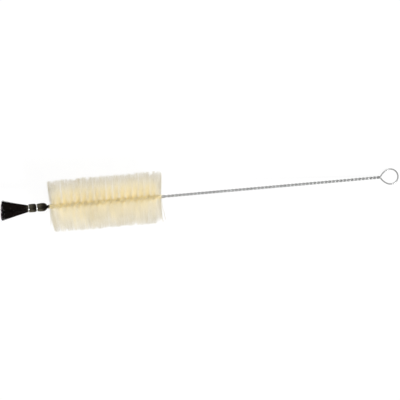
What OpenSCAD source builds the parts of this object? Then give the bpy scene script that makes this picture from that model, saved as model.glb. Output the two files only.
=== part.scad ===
// Bottle brush, lying on a bench as it comes to rest.
//
// One galvanised wire is folded in half. The fold is the hanging ring, and its two legs are
// twisted together into the stem. Where the legs grip the bristles the twist is slower, and the
// nipped bristles stand out as two spiral rows. At the far end a black tuft is pushed over the
// stem and bound with two turns of thin wire at its neck and two more at its collar.
//
// Every point is first worked out along the stem: u runs from the tips of the tuft to the ring,
// v sideways and w upwards. The module laid_down() then tips the brush onto the bench.

/* [Overall] */
// Length from the tips of the tuft to the end of the hanging ring
overall_length = 400; // [320:5:600]
// How far the bristles nearest the handle bend under the brush's own weight
rest_sink = 3.8; // [2:0.1:5]

/* [Stem] */
// Diameter of the galvanised wire
wire_d = 1.4; // [1:0.1:2]
// Length of one turn of the twist in the handle
handle_pitch = 7.54; // [6:0.01:12]
// Length of one turn of the twist where it grips the bristles
grip_pitch = 12.76; // [10:0.01:18]
// How far the slower twist runs on past the bristles
grip_run = 6.6; // [0.5:0.1:12]
// Air between the two legs in the handle
leg_gap = 0.03; // [0.02:0.01:0.3]
// How far short of the front tie the stem ends inside the tuft
stem_short = 3; // [1.5:0.1:5]

/* [Hanging ring] */
// Diameter of the ring, from wire centre to wire centre
ring_d = 15; // [10:0.5:30]
// How far the ring is drawn out towards the twist
ring_point = 3; // [1:0.1:6]
// How far the ring stands to one side of the stem
ring_set = 0.2; // [0:0.1:2]

/* [Bristle fill] */
// Bare stem between the tuft's head and the first bristles
bare_run = 4; // [0.5:0.1:20]
// Length of stem that grips bristles
fill_length = 110.9; // [60:0.1:160]
// Diameter over the longest bristle tips
fill_d = 51; // [30:0.5:70]
// Thickness of the bristles where the legs nip them
nip_t = 0.4; // [0.2:0.05:0.6]
// Clearance between the nipped bristles and each leg
nip_gap = 0.05; // [0.01:0.005:0.1]
// Gap between neighbouring rows at the rim
row_gap = 1.6; // [0.8:0.1:3]
// How far the middle of a row stands out past its edges
row_crown = 2.4; // [1:0.1:4]
// How much shorter every second lock of a row is
lock_step = 1.5; // [0:0.1:3]
// How unevenly the locks are trimmed
lock_trim = 0.7; // [0:0.1:2]
// Sideways lean of the rim at the tuft's end, towards the tuft
lean_at_tuft = 1.9; // [0:0.1:4]
// Sideways lean of the rim at the handle's end, towards the handle
lean_at_handle = 2.5; // [0:0.1:4]
// How far the rim is drawn in at the tuft's end of the fill
rim_draw = 1.3; // [0:0.1:4]
// How far the rim flares out at the handle's end of the fill
rim_flare = 0.4; // [0:0.1:3]

/* [Tuft] */
// Length of the fan, from its tips to the front tie
fan_length = 27.4; // [15:0.1:50]
// Width of the fan at its tips
fan_w = 18.4; // [12:0.1:30]
// Height of the fan at its tips
fan_h = 16; // [10:0.1:30]
// How far the middle of the fan stands out past its edge
fan_crown = 1.2; // [0.4:0.1:3]
// How far the fan's outline is broken into locks
fan_lock = 0.5; // [0:0.05:1]
// Diameter of the bundle under the front tie
neck_d = 5.8; // [4:0.1:7]
// Distance between the two ties
tie_spacing = 8.1; // [7:0.1:14]
// Length of the folded head, from the rear tie to its back
head_length = 9.7; // [9:0.1:20]
// Length over which the head rounds down onto the stem
head_round = 3.6; // [2:0.1:6]
// Thinnest layer of bristles over the stem under the rear tie
collar_t = 1.05; // [0.3:0.05:2]
// How far the bundle swells between the ties
bulge_rise = 0.9; // [0.5:0.05:3]
// How far the head swells behind the rear tie
head_rise = 0.85; // [0.5:0.05:3]
// Layer of bristles left over the stem at the back of the head
tail_t = 0.3; // [0.2:0.05:0.8]
// Clearance between the stem and the bundle that is pushed over it
pocket_gap = 0.08; // [0.05:0.01:0.2]
// Depth left free beyond the end of the stem
pocket_run = 0.4; // [0.2:0.1:1]
// How far the tuft is bound to one side of the stem
tuft_set = 0.15; // [0:0.05:1]

/* [Ties] */
// Diameter of the binding wire
tie_wire_d = 0.5; // [0.4:0.05:0.8]
// Clearance between a tie and the bundle that it binds
tie_gap = 0.05; // [0.02:0.01:0.2]

/* [Hidden] */

// Sides of the wire, and sections per turn of a leg and round the ring
wire_sides = 6;
leg_steps = 7;
ring_steps = 22;
// Sections per turn of a row: odd, so that the locks of neighbouring turns don't line up
row_steps = 41;
// Sides of the tuft, and facets of the ties
tuft_sides = 24;
tie_sides = 14;
tie_facets = 28;

// A six-sided section with the area of the round wire, section_r from its centre to its corners
wire_r = wire_d / 2;
section_r = wire_r * sqrt(2 * PI / (wire_sides * sin(360 / wire_sides)));

// Distance of each leg's centre from the stem's axis
handle_r = section_r + leg_gap / 2;
grip_r = section_r + nip_t / 2 + nip_gap;
widen_turns = 0.5;

// Places along the stem, from the tuft's tips to the ring
tie_front = fan_length;
tie_rear = tie_front + tie_spacing;
head_end = tie_rear + head_length;
fill_start = head_end + bare_run;
fill_end = fill_start + fill_length;
change_u = fill_end + grip_run;
ring_r = ring_d / 2;
ring_end = overall_length - wire_r;
ring_u = ring_end - ring_r;
cross_u = ring_u - ring_r - ring_point;

// The twist, counted in turns from the crossing at the ring
stem_start = tie_front + stem_short;
handle_turns = (cross_u - change_u) / handle_pitch;
stem_turns = handle_turns + (change_u - stem_start) / grip_pitch;
leg_sections = ceil(stem_turns * leg_steps);

// Rows of bristles
fill_r = fill_d / 2;
root_r = wire_r + nip_t / 2;
row_half = (grip_pitch / 2 - row_gap) / 2;
row_first = u_turn(fill_end - row_half);
row_last = u_turn(fill_start + row_half);
row_sections = ceil((row_last - row_first) * row_steps);
trims = rands(0, 1, 2 * (row_sections + 1), 11);

// Tuft: its pocket round the stem, and the bundle's radius at each stage
tie_half = tie_wire_d;
groove_edge = 0.4;
pocket_r = (grip_r + section_r + pocket_gap) / cos(180 / tuft_sides);
pocket_u = stem_start - pocket_run;
neck_r = neck_d / 2;
collar_r = pocket_r + tuft_set + collar_t;
bulge_r = collar_r + bulge_rise;
head_r = collar_r + head_rise;
tail_r = pocket_r + tail_t;
locks = rands(-1, 1, tuft_sides, 5);
fan_sections = 6;
bulge_sections = 5;
round_sections = 5;

// The brush rests on the bent bristles nearest the handle and on the end of its ring, where the
// lowest corner of the wire's section touches the bench
tilt = atan((fill_r - rest_sink - wire_r) / (ring_end - fill_end));
ring_drop = section_r * max([for (j = [0 : wire_sides - 1]) sin(360 * j / wire_sides + tilt)]);
lift = ring_end * sin(tilt) + ring_drop;

// ---- helpers ----------------------------------------------------------------------------

function unit(a) = a / norm(a);
function smooth(x) = let (c = max(0, min(1, x))) c * c * (3 - 2 * c);

// Faces of a closed skin over `rings` rings of `sides` points each, with a fan over each end
function skin_faces(rings, sides) = concat(
    [for (k = [0 : rings - 2], j = [0 : sides - 1])
        let (a = k * sides + j, b = k * sides + (j + 1) % sides)
        each [[a, a + sides, b], [b, a + sides, b + sides]]],
    [for (j = [1 : sides - 2]) [0, j, j + 1]],
    let (e = (rings - 1) * sides)
        [for (j = [1 : sides - 2]) [e, e + j + 1, e + j]]
);

module skin(rings) {
    sides = len(rings[0]);
    points = [for (ring = rings) each ring];
    polyhedron(points, skin_faces(len(rings), sides), convexity = 10);
}

module laid_down() {
    translate([-overall_length * cos(tilt) / 2, 0, lift])
        rotate([0, tilt, 0])
            children();
}

// ---- the twist --------------------------------------------------------------------------

function turn_u(t) = t < handle_turns
    ? cross_u - t * handle_pitch
    : change_u - (t - handle_turns) * grip_pitch;
function u_turn(u) = u > change_u
    ? (cross_u - u) / handle_pitch
    : handle_turns + (change_u - u) / grip_pitch;
function twist_angle(t) = 90 + 360 * t;
function leg_r(t) =
    handle_r + (grip_r - handle_r) * smooth((t - handle_turns + widen_turns) / widen_turns);

// ---- stem wire: one leg, the ring, the other leg ----------------------------------------

// A station is the wire's centre, the direction in which its section faces outwards, and the
// number of corners by which the section is turned so that the skin doesn't wring the wire
function leg_station(t, side, corner) =
    let (a = twist_angle(t) + side, r = leg_r(t))
    [[turn_u(t), r * cos(a), r * sin(a)], [0, cos(a), sin(a)], corner];

function ring_station(b, corner) =
    let (
        drawn = pow(max(0, abs(b) / 90 - 1), 3),
        r = ring_r + ring_point * drawn,
        over = sign(b) * smooth((abs(b) - 100) / 80)
    )
    [[ring_u + r * cos(b), r * sin(b) - ring_set * (1 - drawn), handle_r * over],
     [(1 - abs(over)) * cos(b), (1 - abs(over)) * sin(b), over],
     corner];

wire_path = concat(
    [for (k = [0 : leg_sections])
        leg_station(stem_turns * (1 - k / leg_sections), 0, k)],
    [for (k = [1 : ring_steps - 1])
        ring_station(180 - 360 * k / ring_steps, leg_sections)],
    [for (k = [0 : leg_sections])
        leg_station(stem_turns * k / leg_sections, 180, leg_sections + k)]
);

function wire_section(k) =
    let (
        last = len(wire_path) - 1,
        station = wire_path[k],
        along = unit(wire_path[min(k + 1, last)][0] - wire_path[max(k - 1, 0)][0]),
        out = unit(station[1] - (station[1] * along) * along),
        across = cross(along, out)
    )
    [for (j = [0 : wire_sides - 1])
        let (a = (j + station[2]) * 360 / wire_sides)
        station[0] + section_r * (cos(a) * out + sin(a) * across)];

module stem_wire() {
    color([0.70, 0.71, 0.71])
        laid_down() skin([for (k = [0 : len(wire_path) - 1]) wire_section(k)]);
}

// ---- bristle fill: two spiral rows that grow from one nipped web -------------------------

// How far the bench lets a bristle reach in direction a, at u along the stem
function reach(u, a) =
    sin(a) < -0.01 ? (lift - u * sin(tilt)) / (-sin(a) * cos(tilt)) : fill_d;

// A point of a row at the rim: edge is 1 or -1 for the row's sides and 0 for its middle
function rim_point(t, side, edge, r) =
    let (
        a = twist_angle(t) + 90 + side,
        u = turn_u(t) + edge * row_half,
        share = (u - fill_start) / fill_length,
        lean = (lean_at_tuft + lean_at_handle) * share - lean_at_tuft,
        rim_u = u + lean * cos(a) + rim_draw * (1 - share) + rim_flare * share,
        rim_r = min(r, reach(rim_u, a))
    )
    [rim_u, rim_r * cos(a), rim_r * sin(a)];

// A point where a row leaves the nip: edge is 1 or -1 for the two faces of the web
function root_point(t, side, edge) =
    let (a = twist_angle(t) + 90 + side)
    [turn_u(t),
     root_r * cos(a) - edge * nip_t / 2 * sin(a),
     root_r * sin(a) + edge * nip_t / 2 * cos(a)];

function lock_points(k, t, side, trim) =
    let (tip_r = fill_r - lock_step * (k % 2) - lock_trim * trim)
    [root_point(t, side, 1),
     rim_point(t, side, 1, tip_r - row_crown),
     rim_point(t, side, 0, tip_r),
     rim_point(t, side, -1, tip_r - row_crown),
     root_point(t, side, -1)];

function row_section(k) =
    let (t = row_first + (row_last - row_first) * k / row_sections)
    concat(lock_points(k, t, 0, trims[2 * k]), lock_points(k, t, 180, trims[2 * k + 1]));

module bristle_fill() {
    color([0.92, 0.87, 0.72])
        laid_down() skin([for (k = [0 : row_sections]) row_section(k)]);
}

// ---- tuft: a fan, a bulge between the ties and a folded head -----------------------------

// Sideways place of the bundle's middle, which meets the stem again at the back of the head
function bundle_v(u) = -tuft_set * (1 - smooth((u - head_end + head_round) / head_round));

// A section of the bundle: its place, half width, half height and the share of the locks in it
function bundle_section(u, half_w, half_h, share) =
    [for (j = [0 : tuft_sides - 1])
        let (a = 360 * j / tuft_sides, lock = 1 + 2 * fan_lock * share * locks[j] / fan_w)
        [u + fan_lock * share * locks[(j + 7) % tuft_sides],
         bundle_v(u) + half_w * lock * cos(a),
         half_h * lock * sin(a)]];

function round_section(u, r) = bundle_section(u, r, r, 0);

fan_tips = [for (share = [0.02, 0.4, 0.75])
    bundle_section(fan_crown * share * share, share * fan_w / 2, share * fan_h / 2, share)];

fan_side = [for (k = [0 : fan_sections])
    let (
        s = k / fan_sections,
        u = fan_crown + (tie_front - tie_half - groove_edge - fan_crown) * s,
        root = neck_r + groove_edge
    )
    bundle_section(u, fan_w / 2 + (root - fan_w / 2) * s, fan_h / 2 + (root - fan_h / 2) * s, 1 - s)];

neck = [for (e = [-1, 1]) round_section(tie_front + e * tie_half, neck_r)];

bulge = [for (k = [0 : bulge_sections])
    let (
        s = k / bulge_sections,
        low = neck_r + (collar_r - neck_r) * s,
        from = tie_front + tie_half + groove_edge,
        to = tie_rear - tie_half - groove_edge
    )
    round_section(from + (to - from) * s, low + (bulge_r - low) * pow(sin(30 + 120 * s), 0.25))];

collar = [for (e = [-1, 1]) round_section(tie_rear + e * tie_half, collar_r)];

head = concat(
    [round_section(tie_rear + tie_half + groove_edge, collar_r + head_rise * 0.7)],
    [for (k = [0 : round_sections])
        let (a = 90 * k / round_sections)
        round_section(head_end - head_round * (1 - sin(a)), tail_r + (head_r - tail_r) * pow(cos(a), 1.5))]
);

function pocket_section(u) =
    [for (j = [0 : tuft_sides - 1])
        let (a = 360 * j / tuft_sides)
        [u, pocket_r * cos(a), pocket_r * sin(a)]];

pocket = [pocket_section(head_end), pocket_section(pocket_u)];

module tuft_bristles() {
    color([0.09, 0.08, 0.08])
        laid_down() skin(concat(fan_tips, fan_side, neck, bulge, collar, head, pocket));
}

// ---- ties: two turns of binding wire, side by side ---------------------------------------

module tie(u, bundle_r) {
    laid_down()
        translate([u, bundle_v(u), 0])
            rotate([0, 90, 0])
                rotate_extrude($fn = tie_facets)
                    translate([bundle_r + tie_gap + tie_wire_d / 2, 0])
                        for (e = [-1, 1])
                            translate([0, e * tie_wire_d * 0.48])
                                circle(d = tie_wire_d, $fn = tie_sides);
}

module tuft_tie_front() {
    color([0.82, 0.82, 0.80]) tie(tie_front, neck_r);
}

module tuft_tie_rear() {
    color([0.82, 0.82, 0.80]) tie(tie_rear, collar_r);
}

stem_wire();
bristle_fill();
tuft_bristles();
tuft_tie_front();
tuft_tie_rear();
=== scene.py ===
"""Bottle brush: twisted galvanised stem, pale bristles, black tuft bound with tinned wire.

Every place along the brush is first worked out on the stem: u runs from the tips of the tuft to
the hanging ring, v sideways and w upwards. laid_down() then tips the brush onto the bench. All
sizes are in metres: those of the part's source come first, and what a piece adds is beside it.
"""

import math

import bpy
import numpy as np
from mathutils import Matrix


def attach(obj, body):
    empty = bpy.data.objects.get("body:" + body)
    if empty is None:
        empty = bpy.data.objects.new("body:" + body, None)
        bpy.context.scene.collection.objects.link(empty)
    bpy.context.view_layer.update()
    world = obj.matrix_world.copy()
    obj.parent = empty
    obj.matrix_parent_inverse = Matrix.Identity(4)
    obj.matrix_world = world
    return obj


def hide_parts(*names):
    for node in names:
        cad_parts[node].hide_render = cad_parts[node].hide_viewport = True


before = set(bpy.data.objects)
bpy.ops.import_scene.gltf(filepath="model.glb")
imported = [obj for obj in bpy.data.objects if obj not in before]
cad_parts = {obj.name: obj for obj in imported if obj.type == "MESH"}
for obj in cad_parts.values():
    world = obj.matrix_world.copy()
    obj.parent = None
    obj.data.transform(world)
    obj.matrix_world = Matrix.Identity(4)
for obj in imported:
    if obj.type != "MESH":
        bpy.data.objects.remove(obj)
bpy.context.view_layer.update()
bpy.ops.object.select_all(action="DESELECT")

MM = 0.001
rng = np.random.default_rng(41)

# ---- sizes, as in the part's source --------------------------------------------------------

OVERALL_LENGTH = 400 * MM
REST_SINK = 3.8 * MM

WIRE_R = 0.7 * MM
HANDLE_PITCH = 7.54 * MM
GRIP_PITCH = 12.76 * MM
GRIP_RUN = 6.6 * MM
LEG_GAP = 0.03 * MM
STEM_SHORT = 3 * MM
WIRE_SIDES = 6

RING_R = 7.5 * MM
RING_POINT = 3 * MM
RING_SET = 0.2 * MM

BARE_RUN = 4 * MM
FILL_LENGTH = 110.9 * MM
FILL_R = 25.5 * MM
NIP_T = 0.4 * MM
NIP_GAP = 0.05 * MM
ROW_CROWN = 2.4 * MM
LEAN_AT_TUFT = 1.9 * MM
LEAN_AT_HANDLE = 2.5 * MM
RIM_DRAW = 1.3 * MM
RIM_FLARE = 0.4 * MM

FAN_LENGTH = 27.4 * MM
FAN_HALF_W = 9.2 * MM
FAN_HALF_H = 8 * MM
FAN_CROWN = 1.2 * MM
NECK_R = 2.9 * MM
TIE_SPACING = 8.1 * MM
HEAD_LENGTH = 9.7 * MM
HEAD_ROUND = 3.6 * MM
COLLAR_T = 1.05 * MM
BULGE_RISE = 0.9 * MM
HEAD_RISE = 0.85 * MM
POCKET_GAP = 0.08 * MM
TUFT_SET = 0.15 * MM
TIE_WIRE_R = 0.25 * MM
TIE_GAP = 0.05 * MM

# Both windings are drawn a little towards the fan, from where the source has them
TIE_PULL = 0.4 * MM

# The distance from the wire's middle to the corners of its six-sided section in the source
SECTION_R = WIRE_R * math.sqrt(2 * math.pi / (WIRE_SIDES * math.sin(2 * math.pi / WIRE_SIDES)))
HANDLE_R = SECTION_R + LEG_GAP / 2
GRIP_R = SECTION_R + NIP_T / 2 + NIP_GAP

# Places along the stem
TIE_FRONT = FAN_LENGTH - TIE_PULL
TIE_REAR = TIE_FRONT + TIE_SPACING
HEAD_END = FAN_LENGTH + TIE_SPACING + HEAD_LENGTH
FILL_START = HEAD_END + BARE_RUN
FILL_END = FILL_START + FILL_LENGTH
CHANGE_U = FILL_END + GRIP_RUN
RING_END = OVERALL_LENGTH - WIRE_R
RING_U = RING_END - RING_R
CROSS_U = RING_U - RING_R - RING_POINT
STEM_START = TIE_FRONT + STEM_SHORT

# Turns of the twist, counted from the crossing at the ring
HANDLE_TURNS = (CROSS_U - CHANGE_U) / HANDLE_PITCH
STEM_TURNS = HANDLE_TURNS + (CHANGE_U - STEM_START) / GRIP_PITCH

# The tuft's hollow round the two legs, and its collar
POCKET_R = GRIP_R + SECTION_R + POCKET_GAP
COLLAR_R = POCKET_R + TUFT_SET + COLLAR_T

# The slope of the stem as it rests on its bristles and its ring
TILT = math.atan((FILL_R - REST_SINK - WIRE_R) / (RING_END - FILL_END))
RING_DROP = SECTION_R * max(
    math.sin(2 * math.pi * j / WIRE_SIDES + TILT) for j in range(WIRE_SIDES)
)
LIFT = RING_END * math.sin(TILT) + RING_DROP

# Hairs of one kind differ in thickness, from the thinnest to the thickest share of its radius
HAIR_THICKNESS = (0.8, 1.15)


# ---- helpers -------------------------------------------------------------------------------


def laid_down(points):
    """Points given along the stem (u, v, w), tipped onto the bench, in the row's frame."""
    u, v, w = points[..., 0], points[..., 1], points[..., 2]
    c, s = math.cos(TILT), math.sin(TILT)
    return np.stack([u * c + w * s - OVERALL_LENGTH * c / 2, v, LIFT - u * s + w * c], axis=-1)


def laid_direction(direction):
    """A direction given along the stem, as it lies in the row's frame."""
    return laid_down(np.array(direction, dtype=float)) - laid_down(np.zeros(3))


def smooth(x):
    """0 below 0, 1 above 1 and a soft step between."""
    c = np.clip(x, 0, 1)
    return c * c * (3 - 2 * c)


def turn_u(t):
    """Place along the stem after t turns of the twist, counted from the crossing at the ring."""
    return np.where(
        t < HANDLE_TURNS,
        CROSS_U - t * HANDLE_PITCH,
        CHANGE_U - (t - HANDLE_TURNS) * GRIP_PITCH,
    )


def u_turn(u):
    """The turn of the twist at u, where the twist is the slower one."""
    return HANDLE_TURNS + (CHANGE_U - u) / GRIP_PITCH


def twist_angle(t):
    return math.pi / 2 + 2 * math.pi * t


def finish_piece(piece, slot_name, material, *nodes):
    """Gives a piece its material and its body, and hides the CAD nodes that it stands for; slot_name
    is not used.
    """
    piece.data.materials.clear()
    piece.data.materials.append(material)
    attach(piece, "root")
    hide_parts(*nodes)


# ---- nodes ---------------------------------------------------------------------------------


def add_node(tree, kind, inputs=None, **settings):
    """A node with its settings, and its inputs fed by other nodes' outputs or set to a value."""
    node = tree.nodes.new(kind)
    for name, value in settings.items():
        setattr(node, name, value)
    for socket, source in (inputs or {}).items():
        if isinstance(source, bpy.types.NodeSocket):
            tree.links.new(source, node.inputs[socket])
        else:
            node.inputs[socket].default_value = source
    return node


def calculate(tree, operation, *sources):
    """The result of a Math node."""
    node = add_node(tree, "ShaderNodeMath", dict(enumerate(sources)), operation=operation)
    return node.outputs[0]


def map_range(tree, value, limits, **settings):
    node = add_node(tree, "ShaderNodeMapRange", {"Value": value, **limits}, **settings)
    return node.outputs["Result"]


def mix_colours(tree, factor, first, second):
    inputs = {"Factor": factor, 6: first, 7: second}  # 6 and 7 are the node's colour sockets
    return add_node(tree, "ShaderNodeMix", inputs, data_type="RGBA").outputs[2]


def scale_colour(tree, colour, factor):
    inputs = {0: colour, "Scale": factor}
    return add_node(tree, "ShaderNodeVectorMath", inputs, operation="SCALE").outputs[0]


def seen_share(tree):
    """1 for what the camera sees, straight or by way of metal or glass, and 0 for light on paint."""
    path = tree.nodes.new("ShaderNodeLightPath").outputs
    seen = calculate(tree, "MAXIMUM", path["Is Camera Ray"], path["Is Glossy Ray"])
    return calculate(tree, "MAXIMUM", seen, path["Is Transmission Ray"])


def new_group(name, inputs, outputs):
    """A shader node group, with the sockets that bring values into it and those that take them
    out. inputs are (name, kind, value) and outputs (name, kind)."""
    group = bpy.data.node_groups.new(name, "ShaderNodeTree")
    for socket_name, kind, value in inputs:
        socket = group.interface.new_socket(name=socket_name, in_out="INPUT", socket_type=kind)
        socket.default_value = value
    for socket_name, kind in outputs:
        group.interface.new_socket(name=socket_name, in_out="OUTPUT", socket_type=kind)
    given = group.nodes.new("NodeGroupInput").outputs
    result = group.nodes.new("NodeGroupOutput").inputs
    return group, given, result


def make_strand_colour():
    """Colour of a hair: root, middle and tip colours along it, varied from hair to hair."""
    group, given, result = new_group(
        "strand_colour",
        [
            ("Root", "NodeSocketColor", (0.5, 0.5, 0.5, 1)),
            ("Middle", "NodeSocketColor", (0.5, 0.5, 0.5, 1)),
            ("Tip", "NodeSocketColor", (0.5, 0.5, 0.5, 1)),
            ("Root Reach", "NodeSocketFloat", 0.3),
            ("Tone Spread", "NodeSocketFloat", 0.2),
            ("Roughness", "NodeSocketFloat", 0.5),
        ],
        [("Color", "NodeSocketColor"), ("Roughness", "NodeSocketFloat")],
    )
    along = add_node(group, "ShaderNodeAttribute", attribute_name="along").outputs["Fac"]
    tone = add_node(group, "ShaderNodeAttribute", attribute_name="tone").outputs["Fac"]

    from_root = map_range(
        group, along, {"From Max": given["Root Reach"]}, interpolation_type="SMOOTHSTEP"
    )
    to_tip = map_range(group, along, {"From Min": 0.52})
    colour = mix_colours(group, from_root, given["Root"], given["Middle"])
    colour = mix_colours(group, to_tip, colour, given["Tip"])

    # A tone of 0.5 leaves a hair as it is
    centred = calculate(group, "SUBTRACT", tone, 0.5)
    shade = calculate(group, "MULTIPLY_ADD", centred, given["Tone Spread"], 1.0)
    group.links.new(scale_colour(group, colour, shade), result["Color"])
    rough = calculate(group, "MULTIPLY", given["Roughness"], shade)
    group.links.new(rough, result["Roughness"])
    return group


def make_wire_finish():
    """Drawn and plated wire: soft mottling, fine pits, a slightly uneven gloss and painted shade by
    the ring.
    """
    group, given, result = new_group(
        "wire_finish",
        [
            ("Light", "NodeSocketColor", (0.7, 0.7, 0.7, 1)),
            ("Dark", "NodeSocketColor", (0.4, 0.4, 0.4, 1)),
            ("Mottle Scale", "NodeSocketFloat", 400.0),
            ("Roughness", "NodeSocketFloat", 0.35),
            ("Pit Depth", "NodeSocketFloat", 0.2),
            ("Ring Shade From", "NodeSocketFloat", 10.0),
            ("Ring Shade To", "NodeSocketFloat", 11.0),
        ],
        [
            ("Color", "NodeSocketColor"),
            ("Roughness", "NodeSocketFloat"),
            ("Normal", "NodeSocketVector"),
        ],
    )
    place = group.nodes.new("ShaderNodeTexCoord").outputs["Object"]
    mottle = add_node(
        group,
        "ShaderNodeTexNoise",
        {"Vector": place, "Scale": given["Mottle Scale"], "Detail": 4, "Roughness": 0.65},
    )
    contrast = map_range(group, mottle.outputs["Fac"], {"From Min": 0.32, "From Max": 0.68})
    colour = mix_colours(group, contrast, given["Dark"], given["Light"])

    # Painted shade: the wire's colour is darker towards the hanging ring
    along_brush = add_node(group, "ShaderNodeSeparateXYZ", {"Vector": place}).outputs["X"]
    reach = {"From Min": given["Ring Shade From"], "From Max": given["Ring Shade To"]}
    ring_shade = map_range(group, along_brush, {**reach, "To Min": 1.0, "To Max": 0.77})
    group.links.new(scale_colour(group, colour, ring_shade), result["Color"])

    uneven = map_range(group, contrast, {"To Min": 1.3, "To Max": 0.75})
    rough = calculate(group, "MULTIPLY", uneven, given["Roughness"])
    group.links.new(rough, result["Roughness"])

    pits = add_node(group, "ShaderNodeTexNoise", {"Vector": place, "Scale": 2600, "Detail": 3})
    bump = add_node(
        group,
        "ShaderNodeBump",
        {
            "Height": pits.outputs["Fac"],
            "Strength": given["Pit Depth"],
            "Distance": 0.05 * MM,
        },
    )
    group.links.new(bump.outputs["Normal"], result["Normal"])
    return group


# ---- materials -----------------------------------------------------------------------------


def new_material(name, group, values):
    """A material with one Principled BSDF fed by the group, whose inputs take the given values."""
    material = bpy.data.materials.new(name)
    material.use_nodes = True
    tree = material.node_tree
    shader = tree.nodes["Principled BSDF"]
    effect = add_node(tree, "ShaderNodeGroup", values, node_tree=group)
    for output in effect.outputs:
        target = {"Color": "Base Color"}.get(output.name, output.name)
        tree.links.new(output, shader.inputs[target])
    return material, shader


def let_light_through(material, shader, share):
    """Mixes in a translucent shader of the same colour, as in thin natural bristle."""
    tree = material.node_tree
    colour = shader.inputs["Base Color"].links[0].from_socket
    through = add_node(tree, "ShaderNodeBsdfTranslucent", {"Color": colour})
    both = add_node(
        tree,
        "ShaderNodeMixShader",
        {"Fac": share, 1: shader.outputs["BSDF"], 2: through.outputs["BSDF"]},
    )
    tree.links.new(both.outputs["Shader"], tree.nodes["Material Output"].inputs["Surface"])


def pale_bristle_material(strand_colour):
    material, shader = new_material(
        "pale_bristle",
        strand_colour,
        {
            "Root": (0.982, 0.925, 0.725, 1),
            "Middle": (0.985, 0.965, 0.905, 1),
            # painted shade: this grey of the tips greys the fill's rim
            "Tip": (0.8, 0.775, 0.7, 1),
            "Root Reach": 0.8,
            "Tone Spread": 0.07,
            "Roughness": 0.5,
        },
    )
    shader.inputs["Specular IOR Level"].default_value = 0.3
    let_light_through(material, shader, 0.9)
    return material


def black_bristle_material(strand_colour):
    material, shader = new_material(
        "black_bristle",
        strand_colour,
        {
            # painted sheen: this olive lightens the front of the head and of the bulge
            "Root": (0.075, 0.067, 0.048, 1),
            "Middle": (0.0055, 0.0034, 0.0027, 1),
            "Tip": (0.004, 0.003, 0.0025, 1),
            "Root Reach": 0.1,
            "Tone Spread": 1.6,
            "Roughness": 0.42,
        },
    )
    shader.inputs["Specular IOR Level"].default_value = 0.03
    return material


def galvanised_material(wire_finish):
    material, shader = new_material(
        "galvanised_wire",
        wire_finish,
        {
            "Light": (0.46, 0.462, 0.46, 1),
            "Dark": (0.34, 0.342, 0.34, 1),
            "Mottle Scale": 110.0,
            "Roughness": 0.36,
            "Pit Depth": 0.25,
            # painted shade: over this reach the wire's colour darkens towards the ring
            "Ring Shade From": 0.165,
            "Ring Shade To": 0.185,
        },
    )
    shader.inputs["Metallic"].default_value = 1.0
    return material


def tinned_material(wire_finish):
    material, shader = new_material(
        "tinned_wire",
        wire_finish,
        {
            "Light": (0.92, 0.92, 0.90, 1),
            "Dark": (0.72, 0.72, 0.70, 1),
            "Mottle Scale": 900.0,
            "Roughness": 0.22,
            "Pit Depth": 0.12,
        },
    )
    shader.inputs["Metallic"].default_value = 1.0
    return material


# ---- round wire: stem and ties -------------------------------------------------------------

WIRE_BEVEL = 4  # the bevel resolution, which gives the wire 12 sides
WIRE_SMOOTH = math.radians(50)


def wire_piece(name, points, radius):
    """A round wire along the points, swept as a bevelled curve and made a closed mesh."""
    curve = bpy.data.curves.new(name, "CURVE")
    curve.dimensions = "3D"
    curve.bevel_depth = radius
    curve.bevel_resolution = WIRE_BEVEL
    curve.use_fill_caps = True
    curve.twist_mode = "MINIMUM"
    spline = curve.splines.new("POLY")
    spline.points.add(len(points) - 1)
    spline.points.foreach_set("co", np.column_stack([points, np.ones(len(points))]).ravel())
    spline.use_smooth = True
    piece = bpy.data.objects.new(name, curve)
    bpy.context.scene.collection.objects.link(piece)
    bpy.ops.object.select_all(action="DESELECT")
    piece.select_set(True)
    bpy.context.view_layer.objects.active = piece
    bpy.ops.object.convert(target="MESH")
    piece = bpy.context.view_layer.objects.active
    bpy.ops.object.shade_smooth_by_angle(angle=WIRE_SMOOTH)
    piece.select_set(False)
    return piece


LEG_STEPS = 26  # places in one turn of a leg
PART_RUN = 2.5 * MM  # inside each end of the fill, over which the legs part

RING_STEPS = 72
CROSS_FROM = 100  # degrees round from the ring's far end, where the two sides start to cross


def leg_points(t, side):
    """The centre line of one leg, side being the half turn by which it follows the other."""
    a = twist_angle(t) + side
    u = turn_u(t)
    parted = smooth((u - FILL_START) / PART_RUN) * smooth((FILL_END - u) / PART_RUN)
    r = HANDLE_R + (GRIP_R - HANDLE_R) * parted
    return np.column_stack([u, r * np.cos(a), r * np.sin(a)])


def ring_points():
    """The centre line of the ring: round, and drawn out to where one side crosses the other."""
    b = np.radians(np.linspace(180, -180, RING_STEPS + 1)[1:-1])
    drawn = np.maximum(0, np.abs(b) / (math.pi / 2) - 1) ** 3
    r = RING_R + RING_POINT * drawn
    over = np.sign(b) * smooth((np.abs(np.degrees(b)) - CROSS_FROM) / (180 - CROSS_FROM))
    return np.column_stack(
        [RING_U + r * np.cos(b), r * np.sin(b) - RING_SET * (1 - drawn), HANDLE_R * over]
    )


def make_stem():
    t = np.linspace(0, STEM_TURNS, math.ceil(STEM_TURNS * LEG_STEPS))
    path = np.concatenate([leg_points(t[::-1], 0), ring_points(), leg_points(t, math.pi)])
    return wire_piece("stem_wire_round", laid_down(path), WIRE_R)


TIE_TURNS = 2.15
TIE_STEPS = 40  # places in one turn
TIE_PITCH = 2 * TIE_WIRE_R * 0.96
TUCK_TURNS = 0.09  # of each end, over which it turns down into the bundle
TUCK_DEPTH = 2.2 * TIE_WIRE_R
FRONT_TIE_ANGLE = 1.2  # radians round the bundle, where the winding starts
REAR_TIE_ANGLE = 4.0


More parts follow.
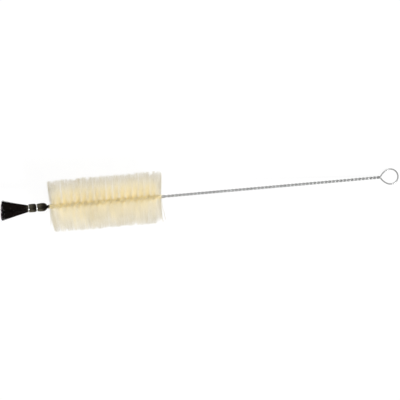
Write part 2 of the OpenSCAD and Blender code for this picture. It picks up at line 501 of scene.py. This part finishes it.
def make_tie(name, u, bundle_r, start):
    """Binding wire wound twice round the bundle, each end tucked down into it."""
    turns = np.linspace(0, TIE_TURNS, math.ceil(TIE_TURNS * TIE_STEPS) + 1)
    a = start + 2 * math.pi * turns
    tuck = np.clip(1 - np.minimum(turns, TIE_TURNS - turns) / TUCK_TURNS, 0, 1) ** 2
    r = bundle_r + TIE_GAP + TIE_WIRE_R - TUCK_DEPTH * tuck
    wound = u + TIE_PITCH * (turns - TIE_TURNS / 2)
    path = np.column_stack([wound, bundle_v(u) + r * np.cos(a), r * np.sin(a)])
    return wire_piece(name, laid_down(path), TIE_WIRE_R)


# ---- strands -------------------------------------------------------------------------------

STRAND_SIDES = 3


def strands_piece(name, paths, radii, side, along, tone):
    """Hairs as thin closed tubes. paths is hairs x points x 3, radii is hairs x points, side is a
    direction that none of them runs along, along is each point's place between a root's colour
    and a tip's, and tone is each hair's own shade, both from 0 to 1."""
    count, steps = paths.shape[:2]
    forward = np.gradient(paths, axis=1)
    forward /= np.linalg.norm(forward, axis=2, keepdims=True)
    across = np.cross(forward, side)
    across /= np.linalg.norm(across, axis=2, keepdims=True)
    other = np.cross(forward, across)
    turned = rng.uniform(0, 2 * math.pi, count)[:, None]
    corners = []
    for j in range(STRAND_SIDES):
        a = turned + 2 * math.pi * j / STRAND_SIDES
        offset = np.cos(a)[..., None] * across + np.sin(a)[..., None] * other
        corners.append(paths + radii[..., None] * offset)
    points = np.stack(corners, axis=2).reshape(-1, 3)

    first = np.arange(count)[:, None] * steps * STRAND_SIDES
    last = first + (steps - 1) * STRAND_SIDES
    base = first[..., None] + np.arange(steps - 1)[:, None] * STRAND_SIDES
    j = np.arange(STRAND_SIDES)
    k = (j + 1) % STRAND_SIDES
    sides = np.stack([base + j, base + k, base + k + STRAND_SIDES, base + j + STRAND_SIDES], -1)
    caps = np.concatenate([first + j[::-1], last + j])
    mesh = bpy.data.meshes.new(name)
    mesh.from_pydata(points.tolist(), [], sides.reshape(-1, 4).tolist() + caps.tolist())

    share = np.repeat(np.broadcast_to(along, (count, steps)).ravel(), STRAND_SIDES)
    shade = np.repeat(tone, steps * STRAND_SIDES)
    for label, values in (("along", share), ("tone", shade)):
        attribute = mesh.attributes.new(label, "FLOAT", "POINT")
        attribute.data.foreach_set("value", values.astype(np.float32))
    mesh.update()
    piece = bpy.data.objects.new(name, mesh)
    bpy.context.scene.collection.objects.link(piece)
    return piece


# ---- bristle fill --------------------------------------------------------------------------

FILL_PIECES = 4
BRISTLES = 22500
SHORT_BRISTLES = 12500  # of these, which lie over the legs
EDGE_BRISTLES = 500  # of the short ones, set within the last EDGE_TURNS by the tuft
EDGE_TURNS = 0.4
BRISTLE_R = 0.045 * MM
SHORT_BRISTLE_R = 0.08 * MM
ROOT_SHARE = 0.55  # of its full radius that a bristle has at its root
THICK_FROM = 0.625  # of the way out, from where it has its full radius

# Each of the two rows stands in locks, and its half turns are seen as bands
LOCKS_PER_TURN = 34
BANDS_PER_TURN = 2
BAND_DRAWS = 200  # more than there are bands
GATHERED = 0.25  # how far the paler side's bristles draw together in the middle of their band

# The two end faces stand plumb, which fades out over one part in PLUMB_PART of the fill's
# length, and their tips are drawn towards the tuft, the more the nearer they are to the end
PLUMB_PART = 9
END_POWER = 8
HANDLE_END_DRAW = 0.8 * MM  # on the yellower side only
TUFT_END_DRAW = 0.65 * MM
TUFT_END_SKEW = 0.35 * MM  # less on the yellower side, and more on the paler one

# How far locks and bristles lean along the stem, and swing round it in radians
LOCK_LEAN = 0.22 * MM
BRISTLE_LEAN = 0.3 * MM
LOCK_SWING = 0.03
BRISTLE_SWING = 0.06
END_LOOSE = 5  # the swing grows by this many times itself at the two ends of the rows
END_LOOSE_TURNS = 0.25
SIDEWAYS = 0.14  # radians by which the upright bristles have been pressed to the sides
BELLY = 1.6 * MM  # by which the end face towards the tuft swells on the paler side
BELLY_RUN = 14 * MM

# How far the longest tips reach past the solid's, and how unevenly the rest are trimmed
TIP_PROUD = 1.1 * MM
CROWN_SHARE = 0.25  # of the crown that the solid's rows have
BAND_TRIM = 0.38 * MM
LOCK_TRIM = 0.7 * MM
BRISTLE_TRIM = 0.2 * MM
YELLOW_TRIM = 0.1 * MM  # more off the yellower side, and as much less off the paler one

# The short bristles, which come out of the nip and turn round a leg
SHORT_TIP_R = (1.6 * MM, 2.4 * MM)
SHORT_SWING = 2.2
SHORT_LEAN = 0.8 * MM
SHORT_RISE = 0.3  # power of the share from root to tip, by which they rise early
SHORT_STRAIGHT = 0.2  # share of their length before they turn

# Each bristle's run from its root to its tip; a power below 1 makes a change come early on it
FROM_ROOT = np.linspace(0, 1, 6)
ROOT_INSET = 0.3 * MM
NIP_BUNDLE = 1.1 * MM  # how far it may lie to any side of its root's place, once out of the nip
NIP_OPEN = 2 * MM  # how far out it is by then
BOW = 0.5 * MM
TURN_POWER = 0.6
FLATTEN_POWER = 0.45
BELLY_POWER = 0.7
BENCH_CLEAR = 0.12 * MM

# Colour: 0 is the yellow of the roots, 0.5 about the palest and 1 the grey of the tips
# The yellower side's yellow is painted shade, the paler side's paleness painted light, and its greyer
# rim painted shade
PAINTED_SHADE_REACH = 1.3  # how strongly the yellow runs outwards on the yellower side
PAINTED_LIGHT_ROOT = 0.43  # how much paler the paler side is by its roots,
PAINTED_LIGHT_FALL = 0.62  # how much yellower it turns again on the way out,
PAINTED_RIM_SHADE = 0.22  # and how much greyer right at the rim
PAINTED_LIGHT_FROM = 0.06  # of the way out
PAINTED_LIGHT_FULLY = 0.5  # cosine of the angle from level within which a bristle is as pale as it gets
RIM_POWER = 8
STREAKS = 0.4  # by which a lock of the paler side may be yellower
STREAK_FROM = 0.5
STREAK_RARITY = 5
GREY_ENDS = (10 * MM, 3 * MM)  # how far in from the ends each of two greyings fades out
GREYED = 0.4  # by each of them at the very ends
GREYED_SHADE_SIDE = 0.35  # more on the yellower side by this share, and less on the paler one
GREYED_SHORT = 0.1  # of all that for the short bristles
SHORT_PAINTED_LIGHT = 0.4  # how far all short bristles count towards the paler side
SHORT_SPREAD = 0.5  # how far they differ among themselves
SHORT_MOST = 0.5  # none of them is greyer than this

# Tone: what a bristle, its lock and its band add to it, and what the yellower side takes off as
# painted shade
BRISTLE_TONE = 0.25
LOCK_TONE = 0.35
BAND_TONE = 0.4
PAINTED_SHADE_TONE = 0.1
MOST_TONE = 0.7

# Where the rim is broken: place along the stem, side (1 for the yellower one and -1 for the
# paler one), half width and depth of each notch
RIM_NOTCHES = (
    (70.0 * MM, 1, 0.6 * MM, 1.6 * MM),
    (75.2 * MM, 1, 1.2 * MM, 1.4 * MM),
    (88.0 * MM, 1, 0.6 * MM, 1.6 * MM),
    (126.2 * MM, 1, 0.6 * MM, 2.2 * MM),
    (133.4 * MM, 1, 1.6 * MM, 1.2 * MM),
    (141.0 * MM, 1, 0.6 * MM, 1.2 * MM),
    (152.4 * MM, 1, 0.9 * MM, 2.6 * MM),
    (157.4 * MM, 1, 0.8 * MM, 1.8 * MM),
    (161.9 * MM, 1, 1.2 * MM, 1.4 * MM),
    (63.8 * MM, -1, 1.0 * MM, 2.2 * MM),
    (132.8 * MM, -1, 1.4 * MM, 2.0 * MM),
)
NOTCH_FACING = 0.8  # cosine of the widest angle from level at which a notch cuts
CORNER = 7 * MM  # cut off the paler side's rim by the handle
CORNER_DEPTH = 3.2 * MM
CORNER_FACING = 0.3  # the same cosine for the corner

# Hairs that stand out of the end faces: the end, how far the hairs of a clump part, and places
# beyond the end and sideways in millimetres, from root to tip
STRAY_BRISTLES = (
    (FILL_END, 0.2 * MM, ((0, 0), (-0.1, -6), (0.7, -9.9), (1.75, -15.6), (2.2, -19), (2.7, -23))),
    (FILL_END, 0.2 * MM, ((-0.2, 0), (-0.6, -8), (-0.9, -13.5), (-0.7, -18), (-0.6, -21), (0.1, -25))),
    (FILL_START, 0.8 * MM, ((0.2, 0), (-0.6, -4), (-1.0, -8), (-1.2, -12), (-1.2, -15), (-1.5, -18))),
)
STRAY_R = 0.1 * MM
STRAY_CLUMP = 4
STRAY_RISE = 2 * MM  # how far their tips lie above the stem's middle

# The turns of the twist between which bristles are nipped, and which bristles are short
FIRST_TURN = u_turn(FILL_END)
LAST_TURN = u_turn(FILL_START)
SHORT = np.arange(BRISTLES) < SHORT_BRISTLES


def bunches(t, side, per_turn):
    """The number of the bunch that each bristle stands in, with so many in a turn of each row."""
    bunch = np.floor(t * per_turn).astype(int) * 2 + (side > 0)
    return bunch - bunch.min()


def rim_shift(flat_u, a):
    """How far along the stem a tip stands from its place in the flattened band, since the rims
    lean and the end faces are plumb."""
    to_yellow = np.cos(a)
    share = (flat_u - FILL_START) / FILL_LENGTH
    lean = (LEAN_AT_TUFT + LEAN_AT_HANDLE) * share - LEAN_AT_TUFT
    draw = RIM_DRAW * (1 - share) + RIM_FLARE * share
    at_end = 1 - smooth(PLUMB_PART * (0.5 - np.abs(share - 0.5)))
    shift = lean * to_yellow + draw - FILL_R * math.tan(TILT) * at_end * np.sin(a)
    shift -= HANDLE_END_DRAW * np.maximum(to_yellow, 0) * share**END_POWER
    shift -= (TUFT_END_DRAW - TUFT_END_SKEW * to_yellow) * (1 - share) ** END_POWER
    return shift


def break_rim(tip_r, flat_u, fan_u, a):
    """Takes the notches and the cut corner off the tips that reach there."""
    to_yellow = np.cos(a)
    for place, to_side, half_width, depth in RIM_NOTCHES:
        near = (np.abs(flat_u + fan_u - place) < half_width) & (to_yellow * to_side > NOTCH_FACING)
        tip_r[near] -= depth
    at_corner = np.clip(1 - (FILL_END - flat_u) / CORNER, 0, 1) * (to_yellow < -CORNER_FACING)
    tip_r -= CORNER_DEPTH * at_corner**2


def aim_bristles(t, a, lock, band):
    """Draws each bristle's place in its flattened band, flat_u, and its tip's place: fan_u along
    the stem from there, the angle tip_a round it and the distance tip_r from it."""
    lock_trim = rng.uniform(0, 1, lock.max() + 1)[lock]
    lock_stray = rng.normal(0, 1, (lock.max() + 1, 2))[lock]
    to_yellow = np.cos(a)
    edge = rng.uniform(-1, 1, BRISTLES)
    edge *= 1 - GATHERED * (to_yellow < 0) * (1 - np.abs(edge))
    flat_u = np.clip(turn_u(t) + edge * GRIP_PITCH / 4, FILL_START, FILL_END)
    fan_u = rim_shift(flat_u, a)
    fan_u += LOCK_LEAN * lock_stray[:, 0] + rng.normal(0, BRISTLE_LEAN, BRISTLES)

    from_end = np.minimum(t - FIRST_TURN, LAST_TURN - t)
    loose = 1 + END_LOOSE * (1 - smooth(from_end / END_LOOSE_TURNS))
    swing = loose * rng.normal(0, BRISTLE_SWING, BRISTLES)
    tip_a = a + LOCK_SWING * lock_stray[:, 1] + swing - SIDEWAYS * np.sin(2 * a)

    band_trim = rng.normal(0, BAND_TRIM, BAND_DRAWS)[band]
    tip_r = FILL_R + TIP_PROUD - CROWN_SHARE * ROW_CROWN * edge**2
    tip_r += band_trim - LOCK_TRIM * lock_trim
    tip_r -= np.abs(rng.normal(0, BRISTLE_TRIM, BRISTLES)) + YELLOW_TRIM * to_yellow
    break_rim(tip_r, flat_u, fan_u, a)

    tip_r[SHORT] = rng.uniform(*SHORT_TIP_R, SHORT_BRISTLES)
    tip_a[SHORT] = a[SHORT] + rng.uniform(-SHORT_SWING, SHORT_SWING, SHORT_BRISTLES)
    fan_u[SHORT] = rng.normal(0, SHORT_LEAN, SHORT_BRISTLES)
    return flat_u, fan_u, tip_a, tip_r


def lay_bristles(root_u, a, flat_u, fan_u, tip_a, tip_r):
    """Each bristle's places (u, v, w) from its root in the nip to its tip."""
    s = FROM_ROOT
    bow = rng.normal(0, BOW, (BRISTLES, 2))
    root_r = NIP_T * rng.uniform(0, 1, BRISTLES)
    nip = rng.uniform(-1, 1, (BRISTLES, 2)) * NIP_BUNDLE

    rise = s ** np.where(SHORT, SHORT_RISE, 1)[:, None]
    r = root_r[:, None] + (tip_r - root_r)[:, None] * rise
    short_turn = smooth((s - SHORT_STRAIGHT) / (1 - SHORT_STRAIGHT))
    turned = np.where(SHORT[:, None], short_turn, s**TURN_POWER)
    angle = a[:, None] + (tip_a - a)[:, None] * turned

    bowed = 4 * s * (1 - s)
    spread = smooth(r / NIP_OPEN) * (1 - s)
    near_tuft = 1 - smooth((flat_u - FILL_START) / BELLY_RUN)
    belly = BELLY * np.maximum(-np.cos(a), 0) * near_tuft
    u = root_u[:, None] + (flat_u - root_u)[:, None] * s**FLATTEN_POWER + fan_u[:, None] * s
    u += bow[:, :1] * bowed + nip[:, :1] * spread
    u -= belly[:, None] * np.sin(math.pi * s**BELLY_POWER)
    sideways = nip[:, 1:] * spread + bow[:, 1:] * bowed
    v = r * np.cos(angle) - sideways * np.sin(angle)
    w = r * np.sin(angle) + sideways * np.cos(angle)
    return np.stack([u, v, w], axis=-1)


def bristle_colours(a, lock, band, flat_u, tip_a, tip_r):
    """Where each point of each bristle comes between a root's colour and a tip's, and the tone
    of each bristle."""
    to_yellow = np.cos(a)
    out = np.minimum(FROM_ROOT * tip_r[:, None] / FILL_R, 1)
    # painted light: the short bristles count partly towards the paler side
    shown = np.cos(np.where(SHORT, tip_a, a)) - SHORT_PAINTED_LIGHT * SHORT
    painted_shade_side = np.maximum(shown, 0)[:, None]
    painted_light_side = np.clip(-shown / PAINTED_LIGHT_FULLY, 0, 1)[:, None]
    streak = STREAKS * rng.uniform(0, 1, lock.max() + 1)[lock] ** STREAK_RARITY

    # painted shade: on the yellower side the roots' yellow reaches further out
    along = out - PAINTED_SHADE_REACH * painted_shade_side * out * (1 - out) ** 2
    # painted light: the paler side turns paler, with painted shade greying its rim
    paler = PAINTED_LIGHT_ROOT - PAINTED_LIGHT_FALL * out + PAINTED_RIM_SHADE * out**RIM_POWER
    along += painted_light_side * smooth(out / PAINTED_LIGHT_FROM) * paler
    along -= painted_light_side * smooth(out / STREAK_FROM) * streak[:, None]

    from_end = np.minimum(flat_u - FILL_START, FILL_END - flat_u)
    greyed = sum(GREYED * (1 - smooth(from_end / run)) for run in GREY_ENDS)
    # painted shade: the ends grey more on the yellower side
    greyed *= 1 + GREYED_SHADE_SIDE * to_yellow
    greyed[SHORT] *= GREYED_SHORT
    along += (1 - along) * greyed[:, None]
    along[SHORT] += SHORT_SPREAD * rng.uniform(0, 1, (SHORT_BRISTLES, 1))
    along[SHORT] = np.minimum(along[SHORT], SHORT_MOST)

    tone = BRISTLE_TONE * rng.uniform(0, 1, BRISTLES)
    tone += LOCK_TONE * rng.uniform(0, 1, lock.max() + 1)[lock]
    tone += BAND_TONE * rng.uniform(0, 1, BAND_DRAWS)[band]
    # painted shade: the yellower side's bristles are a little darker
    tone -= PAINTED_SHADE_TONE * np.maximum(to_yellow, 0)
    return along, np.clip(tone, 0, MOST_TONE)


def stand_strays(places, radii, along):
    """Turns the last few bristles into the clumps that stand out of the end faces."""
    last = BRISTLES
    for end, parting, bends in STRAY_BRISTLES:
        clump = slice(last - STRAY_CLUMP, last)
        apart = rng.normal(0, parting, (STRAY_CLUMP, 1, 2)) * FROM_ROOT[:, None]
        places[clump, :, :2] = np.array([end, 0]) + np.array(bends) * MM + apart
        places[clump, :, 2] = STRAY_RISE * FROM_ROOT
        radii[clump] = STRAY_R
        along[clump] = 1
        last -= STRAY_CLUMP


def rest_on_bench(paths):
    """Hairs that would pass through the bench bend and slide along it, at their own length."""
    moves = np.diff(paths, axis=1)
    rested = paths.copy()
    for k in range(1, paths.shape[1]):
        move = moves[:, k - 1]
        length = np.linalg.norm(move, axis=1)
        point = rested[:, k - 1] + move
        low = point[:, 2] < BENCH_CLEAR
        drop = np.minimum(rested[:, k - 1, 2] - BENCH_CLEAR, length)
        flat = move[:, :2] + 1e-6  # an upright move has a direction too
        flat /= np.linalg.norm(flat, axis=1, keepdims=True)
        reach = np.sqrt(np.maximum(length**2 - drop**2, 0))
        slid = np.full_like(point, BENCH_CLEAR)
        slid[:, :2] = rested[:, k - 1, :2] + flat * reach[:, None]
        rested[:, k] = np.where(low[:, None], slid, point)
    return rested


def make_bristles(material):
    """Two rows of bristles, from the web that the legs nip, in locks and with uneven tips."""
    t = rng.uniform(FIRST_TURN, LAST_TURN, BRISTLES)
    t[:EDGE_BRISTLES] = rng.uniform(LAST_TURN - EDGE_TURNS, LAST_TURN, EDGE_BRISTLES)
    side = rng.integers(0, 2, BRISTLES) * math.pi
    a = twist_angle(t) + math.pi / 2 + side
    lock = bunches(t, side, LOCKS_PER_TURN)
    band = bunches(t, side, BANDS_PER_TURN)
    root_u = np.clip(turn_u(t), FILL_START + ROOT_INSET, FILL_END - ROOT_INSET)

    flat_u, fan_u, tip_a, tip_r = aim_bristles(t, a, lock, band)
    places = lay_bristles(root_u, a, flat_u, fan_u, tip_a, tip_r)
    full_r = np.where(SHORT, SHORT_BRISTLE_R, BRISTLE_R) * rng.uniform(*HAIR_THICKNESS, BRISTLES)
    thickness = ROOT_SHARE + (1 - ROOT_SHARE) * smooth(FROM_ROOT / THICK_FROM)
    radii = full_r[:, None] * thickness
    along, tone = bristle_colours(a, lock, band, flat_u, tip_a, tip_r)
    stand_strays(places, radii, along)

    paths = rest_on_bench(laid_down(places))
    side = laid_direction([1, 0, 0])
    for number, chosen in enumerate(np.array_split(np.argsort(root_u), FILL_PIECES), start=1):
        piece = strands_piece(
            f"bristles_{number}", paths[chosen], radii[chosen], side, along[chosen], tone[chosen]
        )
        finish_piece(piece, "pale_bristle", material, "bristle_fill")


# ---- tuft ----------------------------------------------------------------------------------

TUFT_HAIRS = 900
TUFT_HAIR_R = 0.11 * MM
TIP_THINNING = 0.45
TUFT_LOCKS = 22
SURFACE_POWER = 0.22  # puts most hairs near the bundle's surface
DRIFT = 0.16  # radians that a hair may wander round the bundle

GROOVE_EDGE = 0.06 * MM  # over which the hairs turn down into the groove of a tie
OVERHANG = 0.15 * MM  # by which they swell over the tie's edges
TIE_HALF = 2 * TIE_WIRE_R - OVERHANG
BULGE_ARC = (30, 120)  # degrees: where the arc of the bulge starts, and how far it runs on
BULGE_POWER = 0.25
HEAD_STEP = 0.6  # of the head's rise, right behind the rear tie
HEAD_RUN = 4 * MM
HEAD_POWER = 0.75
TAIL_LAYER = 0.5 * MM
TAIL_LENGTH = 2.5 * MM  # of the hairs' ends, which lie on the two legs behind the head
TAIL_CLOSING = 1 * MM
TAIL_SPREAD = 0.2 * MM
STEM_OPENING = 2 * MM  # over which the hairs part from the legs' ends on

FAN_SKEW = 0.1  # slope of the fan's end across its width
FAN_PROUD = 0.8 * MM  # by which the tips reach past the solid's
FAN_LOOSE = 0.5 * MM
FAN_TIGHT = 0.5  # of that looseness which is missing midway along the fan
CROWN_ABOVE = 0.6  # of the crown that the top and the bottom of the fan have
TIP_UNEVEN = 0.35 * MM
TIP_STRAY = 0.45 * MM
STRAY_POWER = 1.5
FAN_SHIFT = 0.3 * MM  # sideways, right at the fan's end
FAN_SHIFT_POWER = 6
HEAD_SHIFT = 0.2 * MM  # sideways, of the head and the bulge
HEAD_LOOSE = 0.15 * MM

# Painted sheen makes the front of the bulge and of the head olive, and a few hairs of the fan are
# olive too
SHEEN_END = 0.08  # the place along a hair where little painted sheen is left
BULGE_PLAIN = 0.2  # share of the distance between the ties, from the rear one, without painted sheen
HEAD_PLAIN = 0.3  # share of the head's length, from its back, without painted sheen
SHEEN_RUN = 0.6  # share over which it grows
SHEEN_UNEVEN = 0.4  # from lock to lock
SHEEN_SIDE = 0.2
OLIVE_LOCK = 4  # where the fan has olive hairs, with its neighbours
OLIVE_SHARE = 0.5
OLIVE_HAIR = 1.1 * SHEEN_END
HAIR_TONE = 0.35  # a hair's own share of its tone, the rest being its lock's


def bundle_v(u):
    """Sideways place of the bundle's middle, which meets the stem at the back of the head."""
    return -TUFT_SET * (1 - smooth((u - HEAD_END + HEAD_ROUND) / HEAD_ROUND))


def bundle_size(u):
    """Half width and half height of the bundle at u."""
    fan_end = TIE_FRONT - TIE_HALF - GROOVE_EDGE
    root = NECK_R + 2 * GROOVE_EDGE
    s = np.clip((u - FAN_CROWN) / (fan_end - FAN_CROWN), 0, 1)
    half_w = FAN_HALF_W + (root - FAN_HALF_W) * s
    half_h = FAN_HALF_H + (root - FAN_HALF_H) * s

    bulge_from = TIE_FRONT + TIE_HALF + GROOVE_EDGE
    bulge_to = TIE_REAR - TIE_HALF - GROOVE_EDGE
    b = np.clip((u - bulge_from) / (bulge_to - bulge_from), 0, 1)
    low = NECK_R + (COLLAR_R - NECK_R) * b
    arc = np.sin(np.radians(BULGE_ARC[0] + BULGE_ARC[1] * b)) ** BULGE_POWER
    bulge = low + (COLLAR_R + BULGE_RISE - low) * arc

    head_from = TIE_REAR + TIE_HALF + GROOVE_EDGE
    step = smooth((u - head_from + GROOVE_EDGE) / (3 * GROOVE_EDGE))
    swell = smooth((u - head_from) / HEAD_RUN)
    top = COLLAR_R + HEAD_RISE * (HEAD_STEP * step + (1 - HEAD_STEP) * swell)
    h = np.clip((u - (HEAD_END - HEAD_ROUND)) / HEAD_ROUND, 0, 1)
    tail = 2 * SECTION_R + TAIL_LAYER
    head = tail + (top - tail) * np.maximum(1 - h * h, 0) ** HEAD_POWER

    for start, r in ((fan_end, NECK_R), (bulge_from, bulge), (bulge_to, COLLAR_R), (head_from, head)):
        half_w = np.where(u >= start, r, half_w)
        half_h = np.where(u >= start, r, half_h)
    return half_w, half_h


def pair_outline(turned):
    """How far out the pair of legs reaches, at an angle from the line through their middles."""
    inside = WIRE_R**2 - (GRIP_R * np.sin(turned)) ** 2
    return GRIP_R * np.abs(np.cos(turned)) + np.sqrt(np.maximum(inside, 0))


def tuft_places():
    """Places along the stem at which the black hairs bend, from behind the head to the fan."""
    return np.concatenate(
        [
            np.linspace(HEAD_END + TAIL_LENGTH, HEAD_END, 5)[:-1],
            HEAD_END - HEAD_ROUND * (1 - np.cos(np.linspace(0, math.pi / 2, 6))),
            np.linspace(HEAD_END - HEAD_ROUND, TIE_REAR + TIE_HALF + GROOVE_EDGE, 5)[1:],
            [TIE_REAR + TIE_HALF, TIE_REAR - TIE_HALF],
            np.linspace(TIE_REAR - TIE_HALF - GROOVE_EDGE, TIE_FRONT + TIE_HALF + GROOVE_EDGE, 7),
            [TIE_FRONT + TIE_HALF, TIE_FRONT - TIE_HALF],
            np.linspace(TIE_FRONT - TIE_HALF - GROOVE_EDGE, FAN_CROWN, 8),
        ]
    )


def tuft_radii(places, in_fan, q, angle):
    """How far the hairs stand from the bundle's middle, sideways and upwards."""
    half_w, half_h = bundle_size(places)
    in_middle = np.sin(math.pi * in_fan)
    loose = np.where(in_fan > 0, FAN_LOOSE * (1 - FAN_TIGHT * in_middle), HEAD_LOOSE)
    around_stem = (GRIP_R + WIRE_R) * smooth((places - STEM_START) / STEM_OPENING)
    on_wire = smooth((places - HEAD_END) / TAIL_CLOSING)
    hugging = pair_outline(angle - twist_angle(u_turn(places))) + TAIL_SPREAD * (q - 0.5)
    radii = []
    for half in (half_w + loose, half_h + loose):
        r = around_stem + q * (half - around_stem)
        radii.append(r + on_wire * (hugging - r))
    return radii


def tuft_sheen(places, in_fan, a, lock, lock_tone):
    """Each hair's place along its colours: olive near 0, as painted sheen on the bulge and the head,
    and plain black from SHEEN_END on.
    """
    in_bulge = ((TIE_REAR - places) / TIE_SPACING - BULGE_PLAIN) / SHEEN_RUN
    in_head = ((HEAD_END - places) / HEAD_LENGTH - HEAD_PLAIN) / SHEEN_RUN
    uneven = SHEEN_UNEVEN * (lock_tone - 0.5)[:, None] - SHEEN_SIDE * np.cos(a)
    # painted sheen: lighter towards the front of the bulge and of the head, and more on one side
    sheen = smooth(np.where(places < TIE_REAR, in_bulge, in_head) + uneven)
    along = np.where(in_fan > 0, in_fan, SHEEN_END * (1 - sheen))
    olive_hairs = (rng.uniform(0, 1, TUFT_HAIRS) < OLIVE_SHARE) & (np.abs(lock - OLIVE_LOCK) < 2)
    along[olive_hairs] = np.minimum(along[olive_hairs], OLIVE_HAIR)
    return along


def make_tuft(material):
    """Black hairs from the stem behind the head, over the head, through both ties and out."""
    places = tuft_places()
    share = (places[0] - places) / (places[0] - places[-1])
    in_fan = np.clip((TIE_FRONT - places) / (TIE_FRONT - FAN_CROWN), 0, 1)
    q = rng.uniform(0, 1, (TUFT_HAIRS, 1)) ** SURFACE_POWER
    a = rng.uniform(0, 2 * math.pi, (TUFT_HAIRS, 1))
    lock = np.floor(a[:, 0] * TUFT_LOCKS / (2 * math.pi)).astype(int)
    lock_tone = rng.uniform(0, 1, TUFT_LOCKS)[lock]
    drift = rng.normal(0, DRIFT, (TUFT_HAIRS, 2))
    angle = a + drift[:, :1] * np.sin(math.pi * share) + drift[:, 1:] * share * (1 - q)

    tip = FAN_CROWN * q**2 * (CROWN_ABOVE + (1 - CROWN_ABOVE) * np.cos(a) ** 2)
    tip += rng.normal(0, TIP_UNEVEN, (TUFT_HAIRS, 1))
    tip += FAN_SKEW * FAN_HALF_W * q * np.cos(a) - FAN_PROUD
    u = places + in_fan * (tip - FAN_CROWN)
    wide, high = tuft_radii(places, in_fan, q, angle)
    stray = rng.normal(0, 1, (TUFT_HAIRS, 2)) * TIP_STRAY
    in_bundle = (in_fan == 0) * (places < HEAD_END)
    middle = bundle_v(places) + HEAD_SHIFT * in_bundle + FAN_SHIFT * in_fan**FAN_SHIFT_POWER
    v = middle + wide * np.cos(angle) + stray[:, :1] * in_fan**STRAY_POWER
    w = high * np.sin(angle) + stray[:, 1:] * in_fan**STRAY_POWER
    paths = laid_down(np.stack([u, v, w], axis=-1))

    full_r = TUFT_HAIR_R * rng.uniform(*HAIR_THICKNESS, TUFT_HAIRS)[:, None]
    radii = full_r * (1 - TIP_THINNING * in_fan)
    tone = HAIR_TONE * rng.uniform(0, 1, TUFT_HAIRS) + (1 - HAIR_TONE) * lock_tone
    along = tuft_sheen(places, in_fan, a, lock, lock_tone)
    piece = strands_piece("tuft_hairs", paths, radii, laid_direction([0, 0, 1]), along, tone)
    finish_piece(piece, "black_bristle", material, "tuft_bristles")


# ---- the brush -----------------------------------------------------------------------------

strand_colour = make_strand_colour()
wire_finish = make_wire_finish()
tinned = tinned_material(wire_finish)

finish_piece(make_stem(), "galvanised_wire", galvanised_material(wire_finish), "stem_wire")
make_bristles(pale_bristle_material(strand_colour))
make_tuft(black_bristle_material(strand_colour))
tie_front = make_tie("tie_front_wire", TIE_FRONT, NECK_R, FRONT_TIE_ANGLE)
finish_piece(tie_front, "tie_wire", tinned, "tuft_tie_front")
tie_rear = make_tie("tie_rear_wire", TIE_REAR, COLLAR_R, REAR_TIE_ANGLE)
finish_piece(tie_rear, "tie_wire", tinned, "tuft_tie_rear")

# ---- bench, light and camera ---------------------------------------------------------------

ROLL = math.radians(5.07)
LENS = 1200
SENSOR = 36
VIEW_WIDTH = 0.4
VIEW_HEIGHT = 18 * MM
VIEW_CENTRE = (-1.0 * MM, -6.72 * MM)
VIEW_DEPTH = 100

# The white bench as the brush's light meets it, and as it is seen: mostly white by itself, so
# that the soft shadow on it stays faint
BENCH_SIZE = 60
BENCH_PAINT = (0.9, 0.9, 0.9, 1)
BENCH_SEEN = (0.12, 0.12, 0.12, 1)
BENCH_LIFT = 0.88

# The world's strength as light on the brush; it is seen at a strength of 1
WORLD_LIGHT = 0.25

# Square lamps aimed at the brush: name, place, size, power and whether the wire mirrors it
LAMPS = (
    ("overhead_light", (-0.1, 0.1, 2.2), 0.6, 27, False),
    ("key_light", (1.9, -2.27, 2.98), 1.0, 120, True),
)


def make_bench():
    bpy.ops.mesh.primitive_plane_add(size=BENCH_SIZE, location=(0, 0, 0))
    bench = bpy.context.active_object
    bench.name = "bench"
    material = bpy.data.materials.new("bench_white")
    material.use_nodes = True
    tree = material.node_tree
    shader = tree.nodes["Principled BSDF"]
    shader.inputs["Roughness"].default_value = 0.9
    shader.inputs["Specular IOR Level"].default_value = 0.1
    shader.inputs["Emission Color"].default_value = (1, 1, 1, 1)
    seen = seen_share(tree)
    paint = mix_colours(tree, seen, BENCH_PAINT, BENCH_SEEN)
    tree.links.new(paint, shader.inputs["Base Color"])
    lift = calculate(tree, "MULTIPLY", seen, BENCH_LIFT)
    tree.links.new(lift, shader.inputs["Emission Strength"])
    bench.data.materials.append(material)
    bench.select_set(False)


def make_world():
    world = bpy.data.worlds.new("studio")
    world.use_nodes = True
    bpy.context.scene.world = world
    tree = world.node_tree
    background = tree.nodes["Background"]
    background.inputs["Color"].default_value = (1, 1, 1, 1)
    strength = map_range(tree, seen_share(tree), {"To Min": WORLD_LIGHT, "To Max": 1.0})
    tree.links.new(strength, background.inputs["Strength"])


def add_lamp(name, place, size, power, mirrored):
    bpy.ops.object.light_add(type="AREA", location=place)
    lamp = bpy.context.active_object
    lamp.name = name
    lamp.data.shape = "SQUARE"
    lamp.data.size = size
    lamp.data.energy = power
    lamp.visible_glossy = mirrored
    lamp.rotation_euler = (-lamp.location).to_track_quat("-Z", "Y").to_euler()
    lamp.select_set(False)


def make_camera():
    data = bpy.data.cameras.new("camera")
    data.lens = LENS
    data.sensor_width = SENSOR
    data.clip_end = VIEW_DEPTH
    camera = bpy.data.objects.new("camera", data)
    bpy.context.scene.collection.objects.link(camera)
    camera.location = (*VIEW_CENTRE, VIEW_HEIGHT + VIEW_WIDTH * LENS / SENSOR)
    camera.rotation_euler = (0, 0, -ROLL)
    bpy.context.scene.camera = camera


make_bench()
make_world()
for lamp in LAMPS:
    add_lamp(*lamp)
make_camera()
bpy.context.scene.view_settings.view_transform = "Standard"
